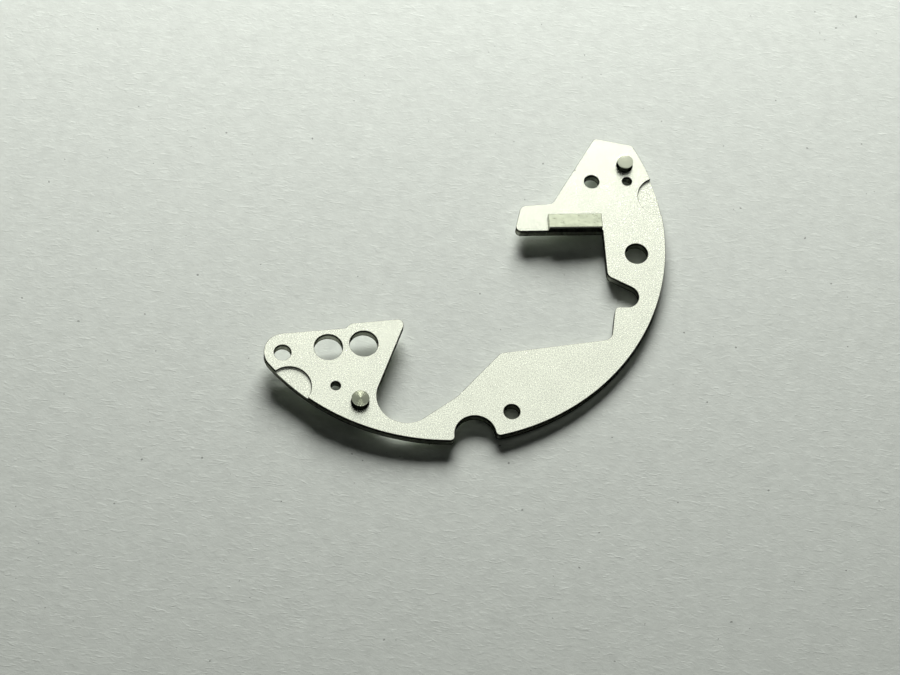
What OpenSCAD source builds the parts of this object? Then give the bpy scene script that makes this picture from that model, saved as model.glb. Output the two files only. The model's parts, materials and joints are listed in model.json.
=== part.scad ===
// Crescent plate of a round wristwatch movement, with its two pressed-in steady pins.
// The plate is one stamped and milled blank. It follows the movement's rim for half a
// turn, widens into a pierced wing at one end and carries a bent arm at the other.
//
// Frame: millimetres, Z up. The origin is on the movement's axis, in the plane of the
// plate's underside. X runs to the right and Y runs away from whoever looks at the wing.
// Places on the plate are polar: an angle about the movement's axis, and an inset, which
// is how far inside the rim the place lies. All of them follow the rim when it changes.

/* [Plate] */
// Diameter of the rim, the casing diameter of the movement
rim_d = 25.6; // [25:0.1:27]
// Thickness of the plate
plate_t = 0.6; // [0.4:0.05:1]
// Radius of the half-round notch in the rim
notch_r = 1.16; // [0.8:0.02:1.3]
// Depth of that notch, from the rim
notch_depth = 1.44; // [1:0.02:1.6]
// Rounding where the notch breaks the rim
notch_lip_r = 0.24; // [0.1:0.02:0.3]

/* [Wing] */
// Radius of the wing's round tip
tip_r = 1.17; // [1:0.01:1.25]
// Height of the step in the wing's long edge
wing_step = 0.27; // [0.1:0.01:0.4]
// Distance of the wing's peak inside the rim
wing_reach = 7.15; // [6.8:0.05:7.6]
// Rounding of the wing's peak
peak_r = 0.32; // [0.1:0.02:0.4]
// Radius of the bay between the wing and the belly
bay_r = 1.65; // [1.4:0.05:1.75]
// Width of the rim band that is left under the bay
bay_band = 0.81; // [0.6:0.01:1]

/* [Belly] */
// Distance of the belly's upper corner inside the rim
belly_w = 4.8; // [4.4:0.05:5.2]
// Rounding of that corner
belly_r = 0.6; // [0.3:0.05:1]
// Width of the neck between the belly and the arm
neck_w = 1.39; // [1.2:0.01:1.6]

/* [Arm] */
// Radius of the slot's round end, half of the slot's width
slot_r = 0.69; // [0.5:0.01:0.75]
// Width of the rim band that is left behind the slot
slot_band = 1.07; // [0.8:0.01:1.3]
// Length of the finger, from its root to its end
finger_l = 5.07; // [4.4:0.05:5.6]
// Width of the finger at its end
finger_w = 1.7; // [1.4:0.05:1.9]
// Rounding of the finger's front corner
finger_front_r = 0.28; // [0.1:0.02:0.4]
// Rounding of the finger's back corner
finger_back_r = 0.46; // [0.1:0.02:0.6]
// Rounding of the corner where the head meets the rim
head_r = 0.3; // [0.15:0.05:0.5]

/* [Raised pad] */
// Distance of the machined pad from the finger's root
pad_start = 0.05; // [0.02:0.01:0.4]
// Length of the pad along the finger
pad_l = 3.07; // [2.4:0.01:3.6]
// Width of the pad
pad_w = 0.92; // [0.6:0.02:1.2]
// Height of the pad above the plate
pad_rise = 0.34; // [0.1:0.02:0.6]

/* [Casing recesses] */
// Diameter of the two flat recesses that clear the casing clamps
recess_d = 2.44; // [1.8:0.02:2.8]
// Distance of a recess's centre outside the rim
recess_overhang = 0.12; // [0:0.01:0.3]
// Depth of the recesses
recess_depth = 0.2; // [0.1:0.02:0.3]

/* [Steady pins] */
// Diameter of the left pin, and of the hole it is pressed into
left_pin_d = 1; // [0.8:0.02:1.1]
// Diameter of the right pin, and of the hole it is pressed into
right_pin_d = 0.92; // [0.8:0.02:1]
// Height of the pins above the plate
pin_rise = 0.48; // [0.2:0.02:1]
// Length of the pins below the plate
pin_drop = 0.48; // [0.2:0.02:0.6]
// Bevel round both ends of a pin
pin_bevel = 0.07; // [0.03:0.01:0.15]

/* [Holes] */
// Diameter of the screw hole in the wing's tip
tip_screw_d = 0.96; // [0.7:0.02:1.2]
// Diameter of the screw hole in the belly
belly_screw_d = 0.92; // [0.7:0.02:1.2]
// Diameter of the screw hole in the head
head_screw_d = 0.86; // [0.7:0.02:1.2]
// Diameter of the large hole in the arm
arm_hole_d = 1.3; // [1:0.02:1.6]
// Diameter of the two clearance holes in the wing
wing_hole_d = 1.6; // [1.2:0.02:1.8]
// Diameter of the two small pivot holes beside the pins
pivot_hole_d = 0.56; // [0.3:0.02:0.7]

/* [Hidden] */

rim_r = rim_d / 2;
// how far a cut runs past the face it breaks
PAST = 0.5;
// largest distance between an arc and its chords
CHORD_ERROR = 0.002;
// points of the outline closer than this are one point
SAME = 0.0001;
$fn = 64;

// Angles of the outline's corners and arcs, counted from X
TIP_ANGLE = -130.9;
STEP_FOOT = [-123.92, 4.69];
WING_EDGE_TURN = 15.5;
STEP_TURN = 51;
PEAK_ANGLE = -102.52;
BAY_ANGLE = -93.02;
NOTCH_ANGLE = -73.44;
ELBOW = [-77.19, 2.67];
BELLY_ANGLE = -57.66;
NECK_FOOT_ANGLE = -24.8;
NECK_TOP = [-14.78, 2.14];
SLOT_ANGLE = -10.09;
ARM_CORNER = [-4.7, 3.13];
FINGER_ROOT = [13.09, 3.53];
FINGER_TURN = 191;
FINGER_END_TURN = 85.6;
FINGER_HEEL = [29.02, 6];
HEAD_PEAK = [45.82, 1.58];
HEAD_ANGLE = 37.9;
RECESS_ANGLES = [-122.9, 22.2];

// Places of the holes and pins: angle, inset
TIP_SCREW = [-131.15, 1.05];
WING_HOLES = [[-123.18, 3.16], [-114.1, 4.58]];
BELLY_SCREW = [-62.36, 1.21];
ARM_HOLE = [4.72, 1.66];
HEAD_SCREW = [32.77, 3.28];
PIVOT_HOLES = [[-113.45, 1.49], [28.95, 1.35]];
LEFT_PIN = [-105.17, 1.27];
RIGHT_PIN = [34.02, 1.04];

// Small roundings that the blanking die leaves in the other corners
STEP_ROUND = 0.12;
ELBOW_ROUND = 1.5;
NECK_FOOT_ROUND = 0.55;
NECK_TOP_ROUND = 0.3;
ARM_CORNER_ROUND = 0.42;
HEEL_ROUND = 0.32;
HEAD_PEAK_ROUND = 0.25;

function ray(angle) = [cos(angle), sin(angle)];
function bearing(v) = atan2(v[1], v[0]);
function unit(v) = v / norm(v);

// the place at an angle about the movement's axis and an inset inside the rim
function at(place) = (rim_r - place[1]) * ray(place[0]);

// the shorter way round from one angle to another
function turn(from, to) = ((to - from + 540) % 360) - 180;

// points along an arc
function sweep(c, r, from, by) =
    let (n = max(2, ceil(abs(by) / (2 * acos(1 - CHORD_ERROR / r)))))
    [for (i = [0:n]) c + r * ray(from + by * i / n)];

// the angle at which a line from p touches a circle, on its left (1) or right (-1) side
function touch(p, c, r, side) = bearing(p - c) + side * acos(r / norm(p - c));

// the centre of a circle that touches the rim from inside and the notch from outside
function lip_centre(c, r, lip, side) =
    let (
        d = norm(c),
        a = rim_r - lip,
        b = r + lip,
        spread = acos((a * a + d * d - b * b) / (2 * a * d))
    )
    a * ray(bearing(c) + side * spread);

// a corner [x, y, r] with its neighbours, rounded to an arc of radius r
function rounded(before, corner, after) =
    let (
        p = [corner[0], corner[1]],
        u = unit([before[0], before[1]] - p),
        v = unit([after[0], after[1]] - p),
        r = corner[2],
        half = acos(u * v) / 2,
        c = p + unit(u + v) * r / sin(half),
        from = bearing(p + u * r / tan(half) - c),
        to = bearing(p + v * r / tan(half) - c)
    )
    sweep(c, r, from, turn(from, to));

// an outline of points [x, y] and corners [x, y, r], with its corners rounded
function soften(outline) =
    let (n = len(outline))
    [for (i = [0:n - 1])
        for (p = len(outline[i]) < 3 ? [outline[i]]
            : rounded(outline[(i + n - 1) % n], outline[i], outline[(i + 1) % n])) p];

function corner(p, r) = [p[0], p[1], r];

// the points without those that repeat the one before
function distinct(points) =
    let (n = len(points))
    [for (i = [0:n - 1]) if (norm(points[i] - points[(i + n - 1) % n]) > SAME) points[i]];

// The arcs that the outline runs along
tip_c = at([TIP_ANGLE, tip_r]);
head_c = at([HEAD_ANGLE, head_r]);
notch_c = at([NOTCH_ANGLE, notch_depth - notch_r]);
left_lip_c = lip_centre(notch_c, notch_r, notch_lip_r, -1);
right_lip_c = lip_centre(notch_c, notch_r, notch_lip_r, 1);
bay_c = at([BAY_ANGLE, bay_band + bay_r]);
slot_c = at([SLOT_ANGLE, slot_band + slot_r]);

// The corners between them
step_foot = at(STEP_FOOT);
step_top = step_foot + wing_step / sin(STEP_TURN - WING_EDGE_TURN) * ray(STEP_TURN);
wing_peak = at([PEAK_ANGLE, wing_reach]);
elbow = at(ELBOW);
belly_corner = at([BELLY_ANGLE, belly_w]);
neck_foot = at([NECK_FOOT_ANGLE, neck_w]);
neck_top = at(NECK_TOP);
arm_corner = at(ARM_CORNER);
finger_root = at(FINGER_ROOT);
finger_front = finger_root + finger_l * ray(FINGER_TURN);
finger_back = finger_front + finger_w * ray(FINGER_END_TURN);
finger_heel = at(FINGER_HEEL);
head_peak = at(HEAD_PEAK);

function arc_to(c, r, from, to) = sweep(c, r, from, turn(from, to));
function rim(from, to) = sweep([0, 0], rim_r, from, to - from);

// The outline of the blank, counter-clockwise from the wing's tip
OUTLINE = distinct(soften(concat(
    sweep(tip_c, tip_r, touch(step_foot, tip_c, tip_r, 1),
        360 + TIP_ANGLE - touch(step_foot, tip_c, tip_r, 1)),
    rim(TIP_ANGLE, bearing(left_lip_c)),
    arc_to(left_lip_c, notch_lip_r, bearing(left_lip_c), bearing(notch_c - left_lip_c)),
    arc_to(notch_c, notch_r, bearing(left_lip_c - notch_c), 90),
    arc_to(notch_c, notch_r, 90, bearing(right_lip_c - notch_c)),
    arc_to(right_lip_c, notch_lip_r, bearing(notch_c - right_lip_c), bearing(right_lip_c)),
    rim(bearing(right_lip_c), HEAD_ANGLE),
    arc_to(head_c, head_r, HEAD_ANGLE, touch(head_peak, head_c, head_r, -1)),
    [
        corner(head_peak, HEAD_PEAK_ROUND),
        corner(finger_heel, HEEL_ROUND),
        corner(finger_back, finger_back_r),
        corner(finger_front, finger_front_r),
        finger_root,
        corner(arm_corner, ARM_CORNER_ROUND)
    ],
    arc_to(slot_c, slot_r, touch(arm_corner, slot_c, slot_r, -1), 0),
    arc_to(slot_c, slot_r, 0, touch(neck_top, slot_c, slot_r, 1)),
    [
        corner(neck_top, NECK_TOP_ROUND),
        corner(neck_foot, NECK_FOOT_ROUND),
        corner(belly_corner, belly_r),
        corner(elbow, ELBOW_ROUND)
    ],
    arc_to(bay_c, bay_r, touch(elbow, bay_c, bay_r, -1), -90),
    arc_to(bay_c, bay_r, -90, touch(wing_peak, bay_c, bay_r, 1)),
    [
        corner(wing_peak, peak_r),
        corner(step_top, STEP_ROUND),
        corner(step_foot, STEP_ROUND)
    ]
)));

// a round hole through the plate
module through_hole(place, d) {
    translate(concat(at(place), -PAST))
        cylinder(d = d, h = plate_t + 2 * PAST);
}

// the shallow recess that a casing clamp turns in
module casing_recess(angle) {
    translate(concat(at([angle, -recess_overhang]), plate_t - recess_depth))
        cylinder(d = recess_d, h = recess_depth + PAST);
}

// the place of the raised pad, open past the finger's front and past the pad's top
module pad_place() {
    translate(concat(finger_root, plate_t - PAST))
        rotate(FINGER_TURN)
            translate([pad_start, -pad_w])
                cube([pad_l, pad_w + PAST, pad_rise + 3 * PAST]);
}

// what the mill takes off the blank round the pad
module milled_away() {
    difference() {
        translate([-rim_d, -rim_d, plate_t])
            cube([2 * rim_d, 2 * rim_d, pad_rise + PAST]);
        pad_place();
    }
}

module crescent_plate() {
    color("#e9ede1")
        difference() {
            linear_extrude(plate_t + pad_rise)
                polygon(OUTLINE);
            milled_away();
            for (angle = RECESS_ANGLES)
                casing_recess(angle);
            for (place = WING_HOLES)
                through_hole(place, wing_hole_d);
            for (place = PIVOT_HOLES)
                through_hole(place, pivot_hole_d);
            through_hole(LEFT_PIN, left_pin_d);
            through_hole(RIGHT_PIN, right_pin_d);
            through_hole(TIP_SCREW, tip_screw_d);
            through_hole(BELLY_SCREW, belly_screw_d);
            through_hole(HEAD_SCREW, head_screw_d);
            through_hole(ARM_HOLE, arm_hole_d);
        }
}

// a turned pin, pressed through the plate and bevelled at both ends
module steady_pin(place, d) {
    foot = -pin_drop;
    top = plate_t + pin_rise;
    r = d / 2;
    color("#b4b7ad")
        translate(at(place))
            rotate_extrude()
                polygon([
                    [0, foot],
                    [r - pin_bevel, foot],
                    [r, foot + pin_bevel],
                    [r, top - pin_bevel],
                    [r - pin_bevel, top],
                    [0, top]
                ]);
}

module left_steady_pin() {
    steady_pin(LEFT_PIN, left_pin_d);
}

module right_steady_pin() {
    steady_pin(RIGHT_PIN, right_pin_d);
}

crescent_plate();
left_steady_pin();
right_steady_pin();
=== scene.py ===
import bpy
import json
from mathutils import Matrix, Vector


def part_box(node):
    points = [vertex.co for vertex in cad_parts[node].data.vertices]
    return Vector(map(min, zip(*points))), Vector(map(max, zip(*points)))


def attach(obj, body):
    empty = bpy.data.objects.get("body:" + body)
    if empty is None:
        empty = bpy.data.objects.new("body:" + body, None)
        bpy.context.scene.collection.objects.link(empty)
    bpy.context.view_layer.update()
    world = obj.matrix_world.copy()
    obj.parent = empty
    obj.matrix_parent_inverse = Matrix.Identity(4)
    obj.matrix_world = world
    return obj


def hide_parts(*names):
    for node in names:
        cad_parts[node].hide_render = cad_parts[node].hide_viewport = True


bl_info = {
    "name": "Crescent movement plate",
    "version": (1, 0, 0),
    "blender": (4, 5, 0),
    "location": "3D View > Sidebar > Movement plate",
    "description": "Finishes the crescent plate of a watch movement and its steady pins, "
                   "and sets them on a pale floor",
    "category": "Mesh",
}

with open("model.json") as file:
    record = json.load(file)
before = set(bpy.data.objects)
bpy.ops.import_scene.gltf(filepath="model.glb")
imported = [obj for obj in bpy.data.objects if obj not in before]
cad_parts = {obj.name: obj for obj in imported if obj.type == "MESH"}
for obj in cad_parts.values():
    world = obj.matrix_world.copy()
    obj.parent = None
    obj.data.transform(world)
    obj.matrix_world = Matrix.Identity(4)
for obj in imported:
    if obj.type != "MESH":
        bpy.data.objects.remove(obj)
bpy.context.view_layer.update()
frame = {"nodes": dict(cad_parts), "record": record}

import json
from math import cos, pi, radians, sin

import bmesh
import bpy
from bpy.props import FloatProperty, FloatVectorProperty, IntProperty, PointerProperty
from mathutils import Matrix, Vector

BODY = "root"
MM = 0.001

# The pieces are worked on in millimetres and brought to metres when they are done,
# because Blender's bevel and boolean tools merge points that lie a micrometre apart.
TO_WORK = Matrix.Scale(1 / MM, 4)
TO_METRES = Matrix.Scale(MM, 4)

# Names of the plate's and the pins' finishes, in the order of their material slots
BLASTED, CUT, MACHINED = range(3)
END, SIDE = range(2)

# Heights of the plate's levels above its underside, and its two casing recesses
PLATE_TOP = 0.6
PAD_TOP = 0.94
RECESS_FLOOR = 0.4
RECESS_RADIUS = 1.22
RECESS_CENTRES = ((-7.0178, -10.8480), (11.9622, 4.8817))

# How much wider the reamed holes are than the CAD's, and from where to where they are cut
HAIR = 0.002
BELOW, ABOVE = -1, 2

# Gaps that are closed in the CAD's mesh, and after the reaming
DOUBLES = 0.0005
SLIVERS = 0.008

# Heights that differ by less than this are the same
SAME_HEIGHT = 0.001

# Angles between faces: within a flat, at an edge that the blasting rounds, at a sharp edge
FLAT_ANGLE, BREAK_ANGLE, SHARP_ANGLE = radians(0.5), radians(30), 1.0

# Angles between faces at which the shading of the plate and of a pin breaks
PLATE_SMOOTH, PIN_SMOOTH = radians(40), radians(8)

# How much of a face's normal points up on a level face, and to the left on the pad's end
LEVEL, LEFTWARD = 0.985, 0.8

# Heights over the plate's top from which a face belongs to the pad's end, and to its top
PAD_END_FROM, PAD_TOP_FROM = 0.05, 0.1

# Small nicks on the head's edge: place and radius
NICKS = (
    (8.06, 8.07, 0.61, 0.04),
    (8.79, 8.02, 0.61, 0.05),
    (7.49, 6.91, 0.61, 0.04),
    (6.97, 5.71, 0.61, 0.05),
    (6.76, 5.36, 0.61, 0.04),
)

# Share of its pitch over which a turning mark rises, and the plain middle, in pitches
RING_RISE = 0.85
PLAIN_MIDDLE = 1.5

# Three places of the part that touch the floor: the foot of each pin and the belly's rim
FLOOR_CONTACTS = ((-2.667, -11.377, -0.48), (10.060, 6.350, -0.48), (10.384, -7.484, 0.0))

# Heights on a cut wall where its dark foot ends, its light band begins and ends, and its
# dark top begins: the dark foot and top are painted shade, the band between the punch's burnish
PUNCH_AND_SHADE_BANDS = (0.04, 0.14, 0.36, 0.45)

# Values between which a noise mostly lies
NOISE_LOW, NOISE_HIGH = 0.3, 0.7

# Ramps: each stop is a value of the noise or the height, and the share that is left there
DEEP_DIMPLES = (0.22, 0.0), (0.30, 1.0)
# Dimple hollows are painted darker: painted shade
DIMPLE_PAINTED_SHADE = (0.34, 0.68), (0.57, 1.0)
FIBRE_HEIGHT = (0.6, 0.0), (0.8, 1.0)
FIBRE_SHADE = (0.0, 0.96), (0.8, 1.0)
SPECK_SHADE = (0.10, 0.5), (0.135, 1.0)

# The two ways that the paper's fibres lie, in degrees, and how wavy the paper's marks are
FIBRE_TURNS = (14, -38)
PAPER_WAVE = 0.8

# Tint of a metal that stays dark where it is seen at a slant
DULL_EDGE = (0.0, 0.0, 0.0, 1.0)

# Length of one wave of Blender's wave texture at a scale of 1
WAVE = pi / 10

# Distances from the plate's axis over which the floor's painted light, a glow, comes in
GLOW_FROM, GLOW_TO = 40.0, 220.0

# The mirrored room is dark up to the first angle from the camera, and pale from the second on
DARK_WITHIN, PALE_BEYOND = radians(15), radians(27)
ROOM_TINT = (0.97, 1.0, 0.96, 1.0)
WINDOW_TINT = (1.0, 1.0, 0.94)

# Nearest and farthest distance that the camera sees, in metres
CLIP = (0.005, 10.0)

# Half a pixel of the picture, in its widths
HALF_PIXEL = 0.5 / 900


def length(name, text, default):
    return FloatProperty(name=name, description=text, default=default, unit="LENGTH",
                         subtype="DISTANCE", precision=6, min=0.0)


def colour(name, text, default):
    return FloatVectorProperty(name=name, description=text, default=default, size=3,
                               subtype="COLOR", min=0.0, max=1.0)


def share(name, text, default):
    return FloatProperty(name=name, description=text, default=default,
                         subtype="FACTOR", min=0.0, max=1.0)


def angle(name, text, degrees):
    return FloatProperty(name=name, description=text, default=radians(degrees),
                         subtype="ANGLE", unit="ROTATION")


def optics(name, text, default):
    return FloatProperty(name=name, description=text, default=default, unit="CAMERA", min=1.0)


def flats(name, text, default):
    return IntProperty(name=name, description=text, default=default, min=24)


class PlateFinish(bpy.types.PropertyGroup):
    edge_break: length("Edge break", "Rounding that is left on the plate's edges", 0.024 * MM)
    pad_chamfer: length("Pad chamfer", "Chamfer along the front of the raised pad", 0.05 * MM)
    hole_sides: flats("Hole sides", "Flats round each hole", 96)
    grain: length("Grain", "Size of the dimples that the blasting leaves", 0.055 * MM)
    grain_depth: length("Grain depth", "Depth of those dimples", 0.0055 * MM)
    face_colour: colour("Blasted face", "Colour of the blasted faces", (0.90, 0.92, 0.80))
    face_roughness: share("Blasted roughness", "Roughness of the blasted faces", 0.238)
    wall_colour: colour("Cut wall", "Colour of the cut walls", (0.38, 0.39, 0.34))
    wall_roughness: share("Wall roughness", "Roughness of the cut walls", 0.28)
    pad_colour: colour("Machined pad", "Colour of the pad's machined top", (0.45, 0.48, 0.37))
    pad_roughness: share("Pad roughness", "Roughness of the pad's machined top", 0.3)


class PinFinish(bpy.types.PropertyGroup):
    sides: flats("Sides", "Flats round a pin", 96)
    bevel: length("Bevel", "Bevel round both ends of a pin", 0.04 * MM)
    ring_pitch: length("Ring pitch", "Distance between the turning marks on an end", 0.06 * MM)
    left_ring_depth: length("Left ring depth", "Depth of the left pin's turning marks", 0.008 * MM)
    right_ring_depth: length("Right ring depth", "Depth of the right pin's turning marks",
                             0.0015 * MM)
    crown: length("Crown", "Height that an end rises from its edge to its middle", 0.01 * MM)
    # The two ends are one steel: the left painted darker as painted shade, the right lighter as
    # painted light
    left_steel: colour("Left steel", "Colour of the left pin's end", (0.235, 0.25, 0.19))
    right_steel: colour("Right steel", "Colour of the right pin's end", (0.53, 0.55, 0.44))
    # The sides' near-black colour is painted shade, for the shadowed plate that they mirror
    shaded_side_steel: colour("Side steel", "Colour of the pins' polished sides", (0.07, 0.075, 0.064))
    roughness: share("Roughness", "Roughness of the turned steel", 0.2)


class StageSetup(bpy.types.PropertyGroup):
    floor_size: length("Floor", "Width of the floor", 3.0)
    floor_colour: colour("Floor colour", "Colour of the paper", (0.795, 0.838, 0.812))
    window_angle: angle("Window angle", "Angle of the window from straight up", 60)
    window_turn: angle("Window turn", "Turn of the window to the left of the back", 9)
    window_distance: length("Window distance", "Distance of the window from the plate", 0.14)
    window_width: length("Window width", "Width of the window", 0.106)
    window_height: length("Window height", "Height of the window", 0.078)
    window_power: FloatProperty(name="Window power", description="Power of the window",
                                default=0.315, unit="POWER", min=0.0)
    sky: share("Room light", "Light that the dim room gives the floor and the plate", 0.012)
    mirrored_room: share("Mirrored room", "Brightness of the room that the metal mirrors", 0.84)
    # The far floor glows with painted light that the camera and the metal see
    far_floor_glow: share("Far floor", "Brightness that the floor keeps far from the lamp", 0.72)
    lens: optics("Lens", "Focal length of the camera", 136.56)
    sensor: optics("Sensor", "Width of the camera's sensor", 36.0)
    camera_place: FloatVectorProperty(name="Camera", description="Place of the camera", size=3,
                                      default=(0.001376, -0.095199, 0.169904),
                                      subtype="TRANSLATION", unit="LENGTH", precision=6)
    camera_tilt: angle("Camera height", "Angle of the view above the plate", 62.30)
    camera_roll: angle("Camera roll", "Roll of the camera about its view", 8.94)
    camera_shift: FloatVectorProperty(name="Camera shift", size=2, precision=6,
                                      description="Shift of the picture, in its widths",
                                      default=(-HALF_PIXEL, HALF_PIXEL))


# Modelling

def deselect():
    if bpy.context.object and bpy.context.object.mode != "OBJECT":
        bpy.ops.object.mode_set(mode="OBJECT")
    bpy.ops.object.select_all(action="DESELECT")


def pick(*pieces):
    deselect()
    for piece in pieces:
        piece.select_set(True)
    bpy.context.view_layer.objects.active = pieces[0]
    return pieces[0]


def edit(piece, mode="VERT"):
    pick(piece)
    bpy.ops.object.mode_set(mode="EDIT")
    bpy.ops.mesh.select_mode(type=mode)


def copy_of_node(node, name):
    """A copy of a CAD node's mesh, in millimetres, with doubles merged and flats whole."""
    mesh = frame["nodes"][node].data.copy()
    mesh.materials.clear()
    mesh.transform(TO_WORK)
    piece = bpy.data.objects.new(name, mesh)
    bpy.context.scene.collection.objects.link(piece)
    pick(piece)
    bpy.ops.mesh.customdata_custom_splitnormals_clear()
    merge(piece, DOUBLES)
    return piece


def merge(piece, gap):
    """Merges points that lie this close together, and makes each flat whole again."""
    edit(piece)
    bpy.ops.mesh.select_all(action="SELECT")
    bpy.ops.mesh.remove_doubles(threshold=gap)
    bpy.ops.mesh.dissolve_limited(angle_limit=FLAT_ANGLE)
    bpy.ops.object.mode_set(mode="OBJECT")


def apply(piece, kind, **settings):
    pick(piece)
    bpy.ops.object.modifier_add(type=kind)
    modifier = piece.modifiers[-1]
    for key, value in settings.items():
        setattr(modifier, key, value)
    bpy.ops.object.modifier_apply(modifier=modifier.name)


def cut(piece, tools):
    """Takes a group of tools off a piece."""
    for tool in tools:
        pick(tool)
        bpy.ops.object.transform_apply(location=True, rotation=True, scale=True)
    tool = pick(*tools)
    bpy.ops.object.join()
    apply(piece, "BOOLEAN", operation="DIFFERENCE", solver="EXACT", object=tool)
    bpy.data.objects.remove(tool)


def drill(place, radius, sides, low=BELOW):
    """A round tool that stands over a place, from a height to well above the plate."""
    deselect()
    bpy.ops.mesh.primitive_cylinder_add(vertices=sides, radius=radius, depth=ABOVE - low,
                                        location=(place[0], place[1], (low + ABOVE) / 2))
    return bpy.context.object


def finished(piece, slot, *nodes, smooth):
    """Brings a piece to metres, evens its shading, and lets it stand for its CAD nodes."""
    pick(piece)
    bpy.ops.object.shade_smooth_by_angle(angle=smooth)
    apply(piece, "WEIGHTED_NORMAL", mode="FACE_AREA", weight=100, keep_sharp=True)
    piece.data.transform(TO_METRES)
    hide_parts(*nodes)
    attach(piece, BODY)


# Finishes

class Finish:
    """A material's nodes, added one by one."""

    def __init__(self, name, base, metallic=1.0):
        self.material = bpy.data.materials.new(name)
        self.material.use_nodes = True
        self.nodes = self.material.node_tree.nodes
        self.links = self.material.node_tree.links
        self.shader = self.nodes["Principled BSDF"]
        self.set(self.shader, {"Base Color": (*base, 1.0), "Metallic": metallic})

    def set(self, node, inputs):
        for name, value in inputs.items():
            socket = node.inputs[name]
            if isinstance(value, bpy.types.NodeSocket):
                self.links.new(value, socket)
            else:
                socket.default_value = value

    def add(self, kind, inputs=None, **settings):
        node = self.nodes.new(kind)
        for key, value in settings.items():
            setattr(node, key, value)
        self.set(node, inputs or {})
        return node

    def place(self, centre=(0, 0, 0), turn=0, stretch=(1, 1, 1)):
        """Places on the piece in millimetres, from a centre, turned in degrees and stretched."""
        coordinates = self.add("ShaderNodeTexCoord")
        mapping = self.add("ShaderNodeMapping", {
            "Vector": coordinates.outputs["Object"],
            "Location": centre,
            "Rotation": (0, 0, radians(turn)),
            "Scale": [s / MM for s in stretch],
        })
        return mapping.outputs["Vector"]

    def noise(self, where, scale, detail=2.0, roughness=0.5, distortion=0.0):
        return self.add("ShaderNodeTexNoise", {
            "Vector": where, "Scale": scale, "Detail": detail,
            "Roughness": roughness, "Distortion": distortion,
        }).outputs["Fac"]

    def ramp(self, value, *stops):
        """A value or a colour that goes through the stops, each a position and what is there."""
        node = self.add("ShaderNodeValToRGB", {"Fac": value})
        elements = node.color_ramp.elements
        for at, _ in stops[2:]:
            elements.new(at)
        for element, (at, shade) in zip(elements, sorted(stops)):
            element.position = at
            rgb = shade if isinstance(shade, tuple) else (shade, shade, shade)
            element.color = (*rgb, 1.0)
        return node.outputs["Color"]

    def between(self, noise, first, last):
        """What goes from the first to the last over the values that a noise mostly has."""
        return self.ramp(noise, (NOISE_LOW, first), (NOISE_HIGH, last))

    def times(self, one, other):
        """One colour multiplied by another."""
        node = self.add("ShaderNodeVectorMath", {0: one, 1: other}, operation="MULTIPLY")
        return node.outputs["Vector"]

    def math(self, operation, one, other):
        return self.add("ShaderNodeMath", {0: one, 1: other}, operation=operation).outputs["Value"]

    def bump(self, height, depth, after=None):
        inputs = {"Height": height, "Distance": depth, "Strength": 1.0}
        if after is not None:
            inputs["Normal"] = after
        return self.add("ShaderNodeBump", inputs).outputs["Normal"]

    def done(self, **inputs):
        self.set(self.shader, {name.replace("_", " "): value for name, value in inputs.items()})
        return self.material


def shades(base, low, high):
    """Two shades of a colour, at these shares of it."""
    return tuple(c * low for c in base), tuple(min(1.0, c * high) for c in base)


def blasted_metal(p):
    """Plated metal with the fine even dimples of blasting, and here and there a deeper one."""
    finish = Finish("blasted_metal", p.face_colour)
    where = finish.place()
    grain = finish.noise(where, scale=MM / p.grain, detail=3.0, roughness=0.65)
    wide = finish.noise(where, scale=0.9)
    pits = finish.ramp(finish.noise(where, scale=5.0, detail=1.0), *DEEP_DIMPLES)
    dimples = finish.bump(grain, depth=p.grain_depth)
    # The base colour is painted darker in the dimples' hollows: painted shade
    return finish.done(
        Base_Color=finish.times(finish.between(wide, *shades(p.face_colour, 0.97, 1.02)),
                                finish.ramp(grain, *DIMPLE_PAINTED_SHADE)),
        Roughness=finish.between(grain, p.face_roughness - 0.06, p.face_roughness + 0.06),
        Normal=finish.bump(pits, depth=0.002 * MM, after=dimples),
    )


def cut_metal(p):
    """Walls with the punch's light burnished band between a dark foot and top of painted shade."""
    finish = Finish("cut_metal", p.wall_colour)
    marks = finish.noise(finish.place(stretch=(1, 1, 0.25)), scale=7.0, detail=3.0,
                         roughness=0.6)
    height = finish.add("ShaderNodeSeparateXYZ", {"Vector": finish.place()}).outputs["Z"]
    # Painted shade: darker at the wall's foot and top, and so on the rounded edges in this finish
    dark, light = shades(p.wall_colour, 0.22, 1.1)
    return finish.done(
        Base_Color=finish.ramp(height, *zip(PUNCH_AND_SHADE_BANDS, (dark, light, light, dark))),
        Roughness=finish.between(marks, p.wall_roughness - 0.05, p.wall_roughness + 0.1),
        Normal=finish.bump(marks, depth=0.004 * MM),
        Specular_Tint=DULL_EDGE,
    )


def machined_metal(p):
    """The pad's top, with faint straight marks of the cutter along it."""
    finish = Finish("machined_metal", p.pad_colour)
    along = finish.place(turn=-11, stretch=(0.35, 1, 1))
    strokes = finish.noise(along, scale=9.0, detail=3.0, roughness=0.6)
    stains = finish.noise(finish.place(), scale=2.2)
    return finish.done(
        Base_Color=finish.between(stains, *shades(p.pad_colour, 0.9, 1.08)),
        Roughness=finish.between(strokes, p.pad_roughness - 0.05, p.pad_roughness + 0.08),
        Normal=finish.bump(strokes, depth=0.0015 * MM),
    )


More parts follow.
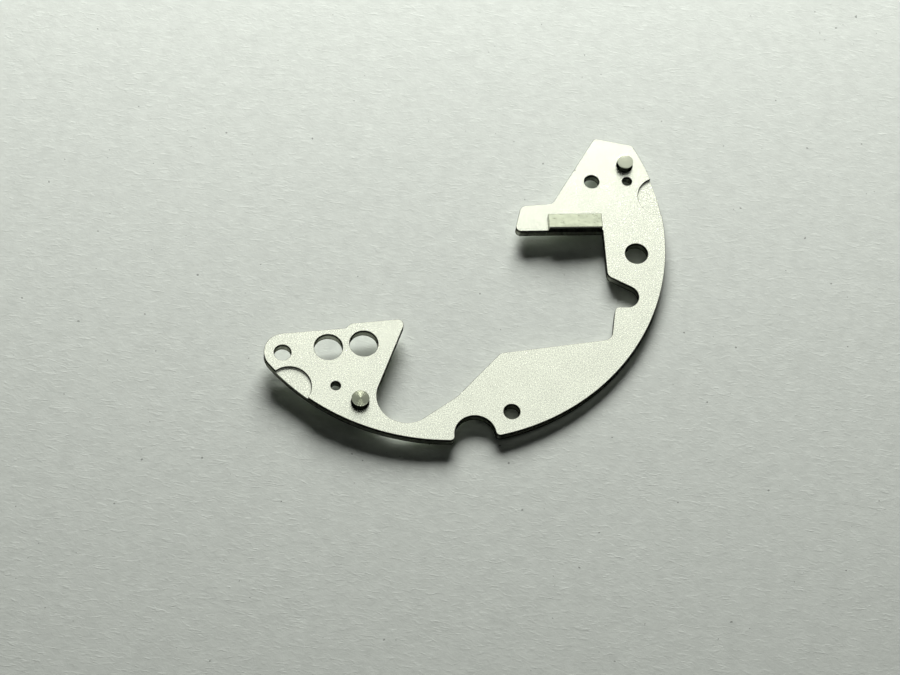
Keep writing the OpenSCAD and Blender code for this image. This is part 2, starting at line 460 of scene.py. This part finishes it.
def turned_steel(name, steel, p, centre):
    """Steel with the fine rings of the lathe about the pin's own axis, their grooves painted
    shade.
    """
    finish = Finish(name, steel)
    where = finish.place(centre=(-centre.x, -centre.y, 0))
    rings = finish.add("ShaderNodeTexWave", {
        "Vector": where, "Scale": WAVE * MM / p.ring_pitch,
        "Distortion": 0.5, "Detail": 1.0, "Detail Scale": 2.0,
    }, wave_type="RINGS", rings_direction="Z").outputs["Fac"]
    smears = finish.noise(where, scale=12.0)
    # Painted shade in the rings' grooves and painted sheen on their crests, by the wave that bumps
    # them
    dark, light = shades(steel, 0.85, 1.12)
    return finish.done(
        Base_Color=finish.ramp(rings, (0.2, dark), (0.8, light)),
        Roughness=finish.between(smears, p.roughness - 0.04, p.roughness + 0.05),
        Normal=finish.bump(rings, depth=0.001 * MM),
    )


def shaded_side_steel(p):
    """Steel of the pins' sides, polished, painted near-black as the shade of the plate they
    mirror.
    """
    finish = Finish("polished_steel", p.shaded_side_steel)
    streaks = finish.noise(finish.place(stretch=(1, 1, 4)), scale=6.0)
    return finish.done(
        Base_Color=finish.between(streaks, *shades(p.shaded_side_steel, 0.85, 1.15)),
        Roughness=finish.between(streaks, p.roughness, p.roughness + 0.08),
        Specular_Tint=DULL_EDGE,
    )


def paper(p):
    """Uncoated paper: a fine tooth, short raised fibres that lie two ways, and a few specks."""
    finish = Finish("pale_paper", p.floor_colour, metallic=0.0)
    tooth = finish.noise(finish.place(stretch=(0.7, 1, 1)), scale=3.0, detail=3.0,
                         roughness=0.6, distortion=PAPER_WAVE)
    raised = []
    for turn in FIBRE_TURNS:
        along = finish.place(turn=turn, stretch=(0.3, 1, 1))
        fibres = finish.noise(along, scale=5.0, detail=1.0, distortion=PAPER_WAVE)
        raised.append(finish.ramp(fibres, *FIBRE_HEIGHT))
    height = finish.math("ADD", *raised)
    clouds = finish.noise(finish.place(), scale=1.3, detail=4.0, roughness=0.7)
    specks = finish.ramp(finish.noise(finish.place(), scale=4.0, detail=0.0), *SPECK_SHADE)
    flecks = finish.times(finish.ramp(height, *FIBRE_SHADE), specks)
    # Painted light: the floor glows far from the plate, for camera and mirror rays only
    away = finish.add("ShaderNodeVectorMath", {0: finish.place()}, operation="LENGTH")
    painted_glow = finish.add("ShaderNodeMapRange", {
        "Value": away.outputs["Value"], "From Min": GLOW_FROM, "From Max": GLOW_TO,
        "To Max": p.far_floor_glow,
    }).outputs["Result"]
    path = finish.add("ShaderNodeLightPath").outputs
    seen = finish.math("MAXIMUM", path["Is Camera Ray"], path["Is Glossy Ray"])
    return finish.done(
        Base_Color=finish.times(finish.between(clouds, *shades(p.floor_colour, 0.94, 1.05)),
                                flecks),
        Roughness=0.9,
        Specular_IOR_Level=0.0,
        Emission_Color=(*p.floor_colour, 1.0),
        Emission_Strength=finish.math("MULTIPLY", painted_glow, seen),
        Normal=finish.bump(height, depth=0.006 * MM,
                           after=finish.bump(tooth, depth=0.016 * MM)),
    )


class MOVEMENT_OT_crescent_plate(bpy.types.Operator):
    """Reams, chamfers and blasts the crescent plate, in place of its CAD solid"""
    bl_idname = "movement.crescent_plate"
    bl_label = "Crescent plate"

    def execute(self, context):
        p = context.scene.plate_finish
        plate = copy_of_node("crescent_plate", "blasted_crescent_plate")
        self.ream(plate, p.hole_sides)
        self.chamfer_pad(plate, p.pad_chamfer / MM)
        apply(plate, "BEVEL", width=p.edge_break / MM, segments=3, limit_method="ANGLE",
              angle_limit=BREAK_ANGLE, use_clamp_overlap=False, loop_slide=False)
        self.nick(plate)
        for material in (blasted_metal(p), cut_metal(p), machined_metal(p)):
            plate.data.materials.append(material)
        self.share_out(plate)
        finished(plate, "blasted_plate", "crescent_plate", smooth=PLATE_SMOOTH)
        return {"FINISHED"}

    def ream(self, plate, sides):
        """Cuts the holes and the recesses again, a hair wider and with more flats."""
        tools = []
        for mount in frame["record"]["mounts"]:
            if mount["kind"] == "bore":
                place = Vector(mount["pos_m"]) / MM
                tools.append(drill(place, mount["dims"]["r_mm"] + HAIR, sides))
        for node in ("left_steady_pin", "right_steady_pin"):
            low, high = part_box(node)
            radius = (high.x - low.x) / 2 / MM
            tools.append(drill((low + high) / 2 / MM, radius + HAIR, sides))
        for centre in RECESS_CENTRES:
            tools.append(drill(centre, RECESS_RADIUS + HAIR, 2 * sides, RECESS_FLOOR - HAIR))
        cut(plate, tools)
        merge(plate, SLIVERS)

    def chamfer_pad(self, plate, width):
        """Chamfers the edge between the pad's top and its front wall."""
        edit(plate, "EDGE")
        bpy.ops.mesh.select_all(action="DESELECT")
        mesh = bmesh.from_edit_mesh(plate.data)
        for e in mesh.edges:
            on_top = all(abs(v.co.z - PAD_TOP) < SAME_HEIGHT for v in e.verts)
            if on_top and e.calc_face_angle(0) > SHARP_ANGLE:
                outward = sum((f.normal for f in e.link_faces), Vector())
                at_front = outward.y < -0.5 and abs(outward.x) < 0.5
                e.select_set(at_front)
        bmesh.update_edit_mesh(plate.data)
        bpy.ops.mesh.bevel(offset=width, segments=1, affect="EDGES")
        bpy.ops.object.mode_set(mode="OBJECT")

    def nick(self, plate):
        """Takes the small nicks out of the head's edge."""
        tools = []
        for x, y, z, radius in NICKS:
            deselect()
            bpy.ops.mesh.primitive_ico_sphere_add(subdivisions=2, radius=radius,
                                                  location=(x, y, z))
            tools.append(bpy.context.object)
        cut(plate, tools)

    def share_out(self, plate):
        """Finishes each face by its slope and height; rounded edges get the cut's painted shade.
        """
        for face in plate.data.polygons:
            over_top = face.center.z - PLATE_TOP
            if over_top > PAD_END_FROM and face.normal.x < -LEFTWARD:
                face.material_index = BLASTED
            elif abs(face.normal.z) < LEVEL:
                face.material_index = CUT
            elif over_top > PAD_TOP_FROM:
                face.material_index = MACHINED
            else:
                face.material_index = BLASTED


class MOVEMENT_OT_steady_pins(bpy.types.Operator):
    """Turns the two steady pins, in place of their CAD solids"""
    bl_idname = "movement.steady_pins"
    bl_label = "Steady pins"

    def execute(self, context):
        p = context.scene.pin_finish
        # The pins' sides take a finish whose near-black colour is painted shade
        polished = shaded_side_steel(p)
        for side in ("left", "right"):
            node = f"{side}_steady_pin"
            low, high = (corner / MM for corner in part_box(node))
            centre = (low + high) / 2
            depth = getattr(p, f"{side}_ring_depth") / MM
            profile = self.profile((high.x - low.x) / 2, low.z, high.z, depth, p)
            pin = self.turn(f"turned_{node}", profile, centre, p.sides)
            # Each end's colour carries painted shade on the left pin and painted light on the
            # right
            steel = getattr(p, f"{side}_steel")
            pin.data.materials.append(turned_steel(f"turned_steel_{side}", steel, p, centre))
            pin.data.materials.append(polished)
            for face in pin.data.polygons:
                upright = abs(face.normal.z) < 0.5
                face.material_index = SIDE if upright else END
            finished(pin, "pin_steel", node, smooth=PIN_SMOOTH)
        return {"FINISHED"}

    def profile(self, radius, foot, top, depth, p):
        """Radii and heights of a pin, from its foot to the middle of its crowned, ringed end."""
        bevel, pitch, crown = (size / MM for size in (p.bevel, p.ring_pitch, p.crown))
        rounding = [(1 - cos(a), 1 - sin(a)) for a in (pi / 8, pi / 4, 3 * pi / 8)]
        edge = top - crown
        points = [(radius - bevel, foot)]
        points += [(radius - bevel * inward, foot + bevel * up)
                   for inward, up in reversed(rounding)]
        points += [(radius, foot + bevel), (radius, edge - bevel)]
        points += [(radius - bevel * inward, edge - bevel * down) for inward, down in rounding]
        r = radius - bevel
        while r > PLAIN_MIDDLE * pitch:
            low = top - crown * (r / radius) ** 2 - depth
            points += [(r, low), (r - RING_RISE * pitch, low + depth)]
            r -= pitch
        points.append((r, top - depth))
        return points

    def turn(self, name, profile, centre, sides):
        """A round piece, drawn up ring by ring from the disc of its foot."""
        deselect()
        radius, height = profile[0]
        bpy.ops.mesh.primitive_circle_add(vertices=sides, radius=radius, fill_type="NGON",
                                          location=(centre.x, centre.y, height))
        bpy.ops.object.transform_apply(location=True, rotation=True, scale=True)
        piece = bpy.context.object
        piece.name = piece.data.name = name
        edit(piece, "FACE")
        bpy.ops.mesh.select_all(action="SELECT")
        for (r0, z0), (r1, z1) in zip(profile, profile[1:]):
            bpy.ops.mesh.extrude_region_move(TRANSFORM_OT_translate={"value": (0, 0, z1 - z0)})
            bpy.ops.transform.resize(value=(r1 / r0, r1 / r0, 1),
                                     center_override=(centre.x, centre.y, z1))
        bpy.ops.mesh.select_all(action="SELECT")
        bpy.ops.mesh.normals_make_consistent(inside=False)
        bpy.ops.object.mode_set(mode="OBJECT")
        return piece


class MOVEMENT_OT_stage(bpy.types.Operator):
    """Lays the pale floor, hangs the window's light and sets the room and the camera"""
    bl_idname = "movement.stage"
    bl_label = "Stage"

    def execute(self, context):
        p = context.scene.stage_setup
        self.lay_floor(p)
        self.hang_window(p)
        self.set_camera(p)
        context.scene.world = self.room(p)
        context.scene.view_settings.view_transform = "Standard"
        return {"FINISHED"}

    def lay_floor(self, p):
        a, b, c = (Vector(contact) * MM for contact in FLOOR_CONTACTS)
        normal = (b - a).cross(c - a).normalized()
        if normal.z < 0:
            normal.negate()
        deselect()
        bpy.ops.mesh.primitive_plane_add(size=p.floor_size, location=a,
                                         rotation=normal.to_track_quat("Z", "Y").to_euler())
        bpy.ops.object.transform_apply(location=True, rotation=True, scale=True)
        floor = bpy.context.object
        floor.name = "paper_floor"
        floor.data.materials.append(paper(p))

    def hang_window(self, p):
        """Hangs the round soft lamp that lights the plate from behind."""
        zenith, turn = p.window_angle, p.window_turn
        way = Vector((-sin(zenith) * sin(turn), sin(zenith) * cos(turn), cos(zenith)))
        light = bpy.data.lights.new("window", "AREA")
        light.shape, light.energy = "ELLIPSE", p.window_power
        light.size, light.size_y = p.window_width, p.window_height
        light.color = WINDOW_TINT
        lamp = bpy.data.objects.new("window", light)
        lamp.location = way * p.window_distance
        lamp.rotation_euler = way.to_track_quat("Z", "Y").to_euler()
        bpy.context.scene.collection.objects.link(lamp)

    def set_camera(self, p):
        ahead = Vector((0, cos(p.camera_tilt), -sin(p.camera_tilt)))
        right, up = Vector((1, 0, 0)), Vector((0, sin(p.camera_tilt), cos(p.camera_tilt)))
        across = right * cos(p.camera_roll) + up * sin(p.camera_roll)
        upward = up * cos(p.camera_roll) - right * sin(p.camera_roll)
        turned = Matrix((across, upward, -ahead)).transposed().to_4x4()
        lens = bpy.data.cameras.new("camera")
        lens.lens, lens.sensor_width = p.lens, p.sensor
        lens.shift_x, lens.shift_y = p.camera_shift
        lens.clip_start, lens.clip_end = CLIP
        camera = bpy.data.objects.new("camera", lens)
        camera.matrix_world = Matrix.Translation(p.camera_place) @ turned
        bpy.context.scene.collection.objects.link(camera)
        bpy.context.scene.camera = camera

    def room(self, p):
        """A room, dim to the floor, and pale to the metal but for a dark place at the camera."""
        world = bpy.data.worlds.new("room")
        world.use_nodes = True
        nodes, links = world.node_tree.nodes, world.node_tree.links
        path, way = nodes.new("ShaderNodeLightPath"), nodes.new("ShaderNodeTexCoord")
        toward = nodes.new("ShaderNodeVectorMath")
        toward.operation = "DOT_PRODUCT"
        toward.inputs[1].default_value = (0, -cos(p.camera_tilt), sin(p.camera_tilt))
        links.new(way.outputs["Generated"], toward.inputs[0])
        mirrored = nodes.new("ShaderNodeMapRange")
        mirrored.inputs["From Min"].default_value = cos(PALE_BEYOND)
        mirrored.inputs["From Max"].default_value = cos(DARK_WITHIN)
        mirrored.inputs["To Min"].default_value = p.mirrored_room
        mirrored.inputs["To Max"].default_value = 2 * p.sky
        links.new(toward.outputs["Value"], mirrored.inputs["Value"])
        strength = nodes.new("ShaderNodeMix")
        strength.inputs["A"].default_value = p.sky
        links.new(path.outputs["Is Glossy Ray"], strength.inputs["Factor"])
        links.new(mirrored.outputs["Result"], strength.inputs["B"])
        background = nodes["Background"]
        background.inputs["Color"].default_value = ROOM_TINT
        links.new(strength.outputs["Result"], background.inputs["Strength"])
        return world


class MOVEMENT_PT_panel(bpy.types.Panel):
    """Shows the plate's, the pins' and the stage's operators, each with its settings"""
    bl_idname = "MOVEMENT_PT_panel"
    bl_label = "Movement plate"
    bl_space_type = "VIEW_3D"
    bl_region_type = "UI"
    bl_category = "Movement plate"

    def draw(self, context):
        for group, operator in (("plate_finish", MOVEMENT_OT_crescent_plate),
                                ("pin_finish", MOVEMENT_OT_steady_pins),
                                ("stage_setup", MOVEMENT_OT_stage)):
            box = self.layout.box()
            box.operator(operator.bl_idname)
            values = getattr(context.scene, group)
            for name in values.bl_rna.properties.keys():
                if name not in {"rna_type", "name"}:
                    box.prop(values, name)


CLASSES = (PlateFinish, PinFinish, StageSetup, MOVEMENT_OT_crescent_plate,
           MOVEMENT_OT_steady_pins, MOVEMENT_OT_stage, MOVEMENT_PT_panel)


def register():
    for each in CLASSES:
        bpy.utils.register_class(each)
    bpy.types.Scene.plate_finish = PointerProperty(type=PlateFinish)
    bpy.types.Scene.pin_finish = PointerProperty(type=PinFinish)
    bpy.types.Scene.stage_setup = PointerProperty(type=StageSetup)


def unregister():
    del bpy.types.Scene.stage_setup
    del bpy.types.Scene.pin_finish
    del bpy.types.Scene.plate_finish
    for each in reversed(CLASSES):
        bpy.utils.unregister_class(each)


def main():
    register()
    bpy.ops.movement.crescent_plate()
    bpy.ops.movement.steady_pins()
    bpy.ops.movement.stage()


if __name__ == "__main__":
    main()
